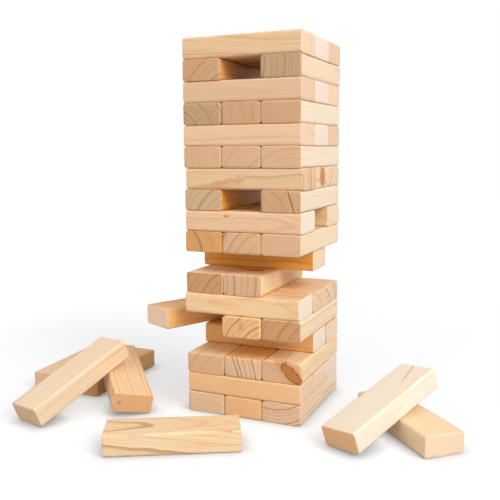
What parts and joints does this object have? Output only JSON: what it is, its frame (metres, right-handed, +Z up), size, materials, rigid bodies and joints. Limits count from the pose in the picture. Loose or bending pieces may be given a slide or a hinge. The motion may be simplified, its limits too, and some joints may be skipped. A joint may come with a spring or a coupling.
{
  "type": "giant tumbling tower",
  "caption": "Garden stacking game of planed wooden blocks in crossing rows of three, part played, with some blocks pushed, pulled half out or fallen around the tower.",
  "frame": {"origin": "middle of the standing tower's footprint, on the ground: the centre of the bottom face of the bottom row's middle block", "axes": "+Z up. +X runs along the blocks of the even rows, to the right seen from the front. +Y runs along the blocks of the odd rows, from front to back"},
  "size_m": [0.6987, 0.3809, 0.5507],
  "materials": {
    "pine": "planed and sanded, bare"
  },
  "bodies": {
    "row01_left": {"row01_left": "pine"},
    "row01_middle": {"row01_middle": "pine"},
    "row01_right": {"row01_right": "pine"},
    "row02_front": {"row02_front": "pine"},
    "row02_middle": {"row02_middle": "pine"},
    "row02_back": {"row02_back": "pine"},
    "row03_left": {"row03_left": "pine"},
    "row03_middle": {"row03_middle": "pine"},
    "row03_right": {"row03_right": "pine"},
    "row04_middle": {"row04_middle": "pine"},
    "row04_back": {"row04_back": "pine"},
    "row05_middle": {"row05_middle": "pine"},
    "row05_right": {"row05_right": "pine"},
    "row06_front": {"row06_front": "pine"},
    "row06_middle": {"row06_middle": "pine"},
    "row06_back": {"row06_back": "pine"},
    "row07_left": {"row07_left": "pine"},
    "row07_middle": {"row07_middle": "pine"},
    "row08_middle": {"row08_middle": "pine"},
    "row09_left": {"row09_left": "pine"},
    "row09_middle": {"row09_middle": "pine"},
    "row09_right": {"row09_right": "pine"},
    "row10_front": {"row10_front": "pine"},
    "row10_back": {"row10_back": "pine"},
    "row11_left": {"row11_left": "pine"},
    "row11_right": {"row11_right": "pine"},
    "row12_front": {"row12_front": "pine"},
    "row12_middle": {"row12_middle": "pine"},
    "row12_back": {"row12_back": "pine"},
    "row13_left": {"row13_left": "pine"},
    "row13_middle": {"row13_middle": "pine"},
    "row13_right": {"row13_right": "pine"},
    "row14_front": {"row14_front": "pine"},
    "row14_middle": {"row14_middle": "pine"},
    "row14_back": {"row14_back": "pine"},
    "row15_left": {"row15_left": "pine"},
    "row15_middle": {"row15_middle": "pine"},
    "row15_right": {"row15_right": "pine"},
    "row16_front": {"row16_front": "pine"},
    "row16_middle": {"row16_middle": "pine"},
    "row16_back": {"row16_back": "pine"},
    "row17_left": {"row17_left": "pine"},
    "row17_right": {"row17_right": "pine"},
    "row18_front": {"row18_front": "pine"},
    "row18_middle": {"row18_middle": "pine"},
    "row18_back": {"row18_back": "pine"},
    "row05_left": {"row05_left": "pine"},
    "fallen_front": {"fallen_front": "pine"},
    "fallen_left_flat": {"fallen_left_flat": "pine"},
    "fallen_left_side": {"fallen_left_side": "pine"},
    "fallen_left_leaning": {"fallen_left_leaning": "pine"},
    "fallen_left_top": {"fallen_left_top": "pine"},
    "fallen_right_flat": {"fallen_right_flat": "pine"},
    "fallen_right_leaning": {"fallen_right_leaning": "pine"}
  },
  "joints": [
    {"name": "row01_left_slide", "type": "slide", "parent": "row01_middle", "child": "row01_left", "axis": [0, 1, 0], "range_m": [-0.08, 0.2]},
    {"name": "row01_right_slide", "type": "slide", "parent": "row01_middle", "child": "row01_right", "axis": [0, 1, 0], "range_m": [-0.07, 0.2]},
    {"name": "row02_front_slide", "type": "slide", "parent": "row01_middle", "child": "row02_front", "axis": [1, 0, 0], "range_m": [-0.065, 0.065]},
    {"name": "row02_middle_slide", "type": "slide", "parent": "row01_middle", "child": "row02_middle", "axis": [1, 0, 0], "range_m": [-0.115, 0.09]},
    {"name": "row02_back_slide", "type": "slide", "parent": "row01_middle", "child": "row02_back", "axis": [1, 0, 0], "range_m": [-0.2, 0.2]},
    {"name": "row03_left_slide", "type": "slide", "parent": "row01_middle", "child": "row03_left", "axis": [0, 1, 0], "range_m": [-0.2, 0.2]},
    {"name": "row03_middle_slide", "type": "slide", "parent": "row01_middle", "child": "row03_middle", "axis": [0, 1, 0], "range_m": [-0.2, 0.2]},
    {"name": "row03_right_slide", "type": "slide", "parent": "row01_middle", "child": "row03_right", "axis": [0, 1, 0], "range_m": [-0.2, 0.2]},
    {"name": "row04_middle_slide", "type": "slide", "parent": "row01_middle", "child": "row04_middle", "axis": [1, 0, 0], "range_m": [-0.2, 0.2]},
    {"name": "row04_back_slide", "type": "slide", "parent": "row01_middle", "child": "row04_back", "axis": [1, 0, 0], "range_m": [-0.2, 0.2]},
    {"name": "row05_middle_slide", "type": "slide", "parent": "row01_middle", "child": "row05_middle", "axis": [0, 1, 0], "range_m": [-0.2, 0.2]},
    {"name": "row05_right_slide", "type": "slide", "parent": "row01_middle", "child": "row05_right", "axis": [0, 1, 0], "range_m": [-0.2, 0.2]},
    {"name": "row06_front_slide", "type": "slide", "parent": "row01_middle", "child": "row06_front", "axis": [1, 0, 0], "range_m": [-0.2, 0.2]},
    {"name": "row06_middle_slide", "type": "slide", "parent": "row01_middle", "child": "row06_middle", "axis": [1, 0, 0], "range_m": [-0.2, 0.2]},
    {"name": "row06_back_slide", "type": "slide", "parent": "row01_middle", "child": "row06_back", "axis": [1, 0, 0], "range_m": [-0.2, 0.2]},
    {"name": "row07_left_slide", "type": "slide", "parent": "row01_middle", "child": "row07_left", "axis": [0, 1, 0], "range_m": [-0.2, 0.2]},
    {"name": "row07_middle_slide", "type": "slide", "parent": "row01_middle", "child": "row07_middle", "axis": [0, 1, 0], "range_m": [-0.2, 0.2]},
    {"name": "row08_middle_slide", "type": "slide", "parent": "row01_middle", "child": "row08_middle", "axis": [1, 0, 0], "range_m": [-0.2, 0.2]},
    {"name": "row09_left_slide", "type": "slide", "parent": "row01_middle", "child": "row09_left", "axis": [0, 1, 0], "range_m": [-0.2, 0.2]},
    {"name": "row09_middle_slide", "type": "slide", "parent": "row01_middle", "child": "row09_middle", "axis": [0, 1, 0], "range_m": [-0.2, 0.2]},
    {"name": "row09_right_slide", "type": "slide", "parent": "row01_middle", "child": "row09_right", "axis": [0, 1, 0], "range_m": [-0.2, 0.2]},
    {"name": "row10_front_slide", "type": "slide", "parent": "row01_middle", "child": "row10_front", "axis": [1, 0, 0], "range_m": [-0.2, 0.2]},
    {"name": "row10_back_slide", "type": "slide", "parent": "row01_middle", "child": "row10_back", "axis": [1, 0, 0], "range_m": [-0.2, 0.2]},
    {"name": "row11_left_slide", "type": "slide", "parent": "row01_middle", "child": "row11_left", "axis": [0, 1, 0], "range_m": [-0.2, 0.2]},
    {"name": "row11_right_slide", "type": "slide", "parent": "row01_middle", "child": "row11_right", "axis": [0, 1, 0], "range_m": [-0.2, 0.2]},
    {"name": "row12_front_slide", "type": "slide", "parent": "row01_middle", "child": "row12_front", "axis": [1, 0, 0], "range_m": [-0.2, 0.2]},
    {"name": "row12_middle_slide", "type": "slide", "parent": "row01_middle", "child": "row12_middle", "axis": [1, 0, 0], "range_m": [-0.2, 0.2]},
    {"name": "row12_back_slide", "type": "slide", "parent": "row01_middle", "child": "row12_back", "axis": [1, 0, 0], "range_m": [-0.2, 0.2]},
    {"name": "row13_left_slide", "type": "slide", "parent": "row01_middle", "child": "row13_left", "axis": [0, 1, 0], "range_m": [-0.2, 0.2]},
    {"name": "row13_middle_slide", "type": "slide", "parent": "row01_middle", "child": "row13_middle", "axis": [0, 1, 0], "range_m": [-0.2, 0.2]},
    {"name": "row13_right_slide", "type": "slide", "parent": "row01_middle", "child": "row13_right", "axis": [0, 1, 0], "range_m": [-0.2, 0.2]},
    {"name": "row14_front_slide", "type": "slide", "parent": "row01_middle", "child": "row14_front", "axis": [1, 0, 0], "range_m": [-0.2, 0.2]},
    {"name": "row14_middle_slide", "type": "slide", "parent": "row01_middle", "child": "row14_middle", "axis": [1, 0, 0], "range_m": [-0.2, 0.2]},
    {"name": "row14_back_slide", "type": "slide", "parent": "row01_middle", "child": "row14_back", "axis": [1, 0, 0], "range_m": [-0.2, 0.2]},
    {"name": "row15_left_slide", "type": "slide", "parent": "row01_middle", "child": "row15_left", "axis": [0, 1, 0], "range_m": [-0.2, 0.2]},
    {"name": "row15_middle_slide", "type": "slide", "parent": "row01_middle", "child": "row15_middle", "axis": [0, 1, 0], "range_m": [-0.2, 0.2]},
    {"name": "row15_right_slide", "type": "slide", "parent": "row01_middle", "child": "row15_right", "axis": [0, 1, 0], "range_m": [-0.2, 0.2]},
    {"name": "row16_front_slide", "type": "slide", "parent": "row01_middle", "child": "row16_front", "axis": [1, 0, 0], "range_m": [-0.2, 0.2]},
    {"name": "row16_middle_slide", "type": "slide", "parent": "row01_middle", "child": "row16_middle", "axis": [1, 0, 0], "range_m": [-0.2, 0.2]},
    {"name": "row16_back_slide", "type": "slide", "parent": "row01_middle", "child": "row16_back", "axis": [1, 0, 0], "range_m": [-0.2, 0.2]},
    {"name": "row17_left_slide", "type": "slide", "parent": "row01_middle", "child": "row17_left", "axis": [0, 1, 0], "range_m": [-0.2, 0.2]},
    {"name": "row17_right_slide", "type": "slide", "parent": "row01_middle", "child": "row17_right", "axis": [0, 1, 0], "range_m": [-0.2, 0.2]},
    {"name": "row18_front_lift", "type": "slide", "parent": "row01_middle", "child": "row18_front", "axis": [0, 0, 1], "range_m": [0, 0.2]},
    {"name": "row18_middle_lift", "type": "slide", "parent": "row01_middle", "child": "row18_middle", "axis": [0, 0, 1], "range_m": [0, 0.2]},
    {"name": "row18_back_lift", "type": "slide", "parent": "row01_middle", "child": "row18_back", "axis": [0, 0, 1], "range_m": [0, 0.2]},
    {"name": "row05_left_slide", "type": "slide", "parent": "row01_middle", "child": "row05_left", "axis": [0.4384, 0.8988, 0], "range_m": [-0.2, 0.015]},
    {"name": "fallen_front_lift", "type": "slide", "parent": "row01_middle", "child": "fallen_front", "axis": [0, 0, 1], "range_m": [0, 0.2]},
    {"name": "fallen_left_flat_lift", "type": "slide", "parent": "row01_middle", "child": "fallen_left_flat", "axis": [0, 0, 1], "range_m": [0, 0.2]},
    {"name": "fallen_left_side_lift", "type": "slide", "parent": "row01_middle", "child": "fallen_left_side", "axis": [0, 0, 1], "range_m": [0, 0.2]},
    {"name": "fallen_left_leaning_lift", "type": "slide", "parent": "fallen_left_flat", "child": "fallen_left_leaning", "axis": [0, 0, 1], "range_m": [0, 0.2]},
    {"name": "fallen_left_top_lift", "type": "slide", "parent": "fallen_left_leaning", "child": "fallen_left_top", "axis": [0, 0, 1], "range_m": [0, 0.2]},
    {"name": "fallen_right_flat_lift", "type": "slide", "parent": "row01_middle", "child": "fallen_right_flat", "axis": [0, 0, -1], "range_m": [-0.2, 0]},
    {"name": "fallen_right_leaning_lift", "type": "slide", "parent": "fallen_right_flat", "child": "fallen_right_leaning", "axis": [0, 0, -1], "range_m": [-0.2, 0]}
  ]
}
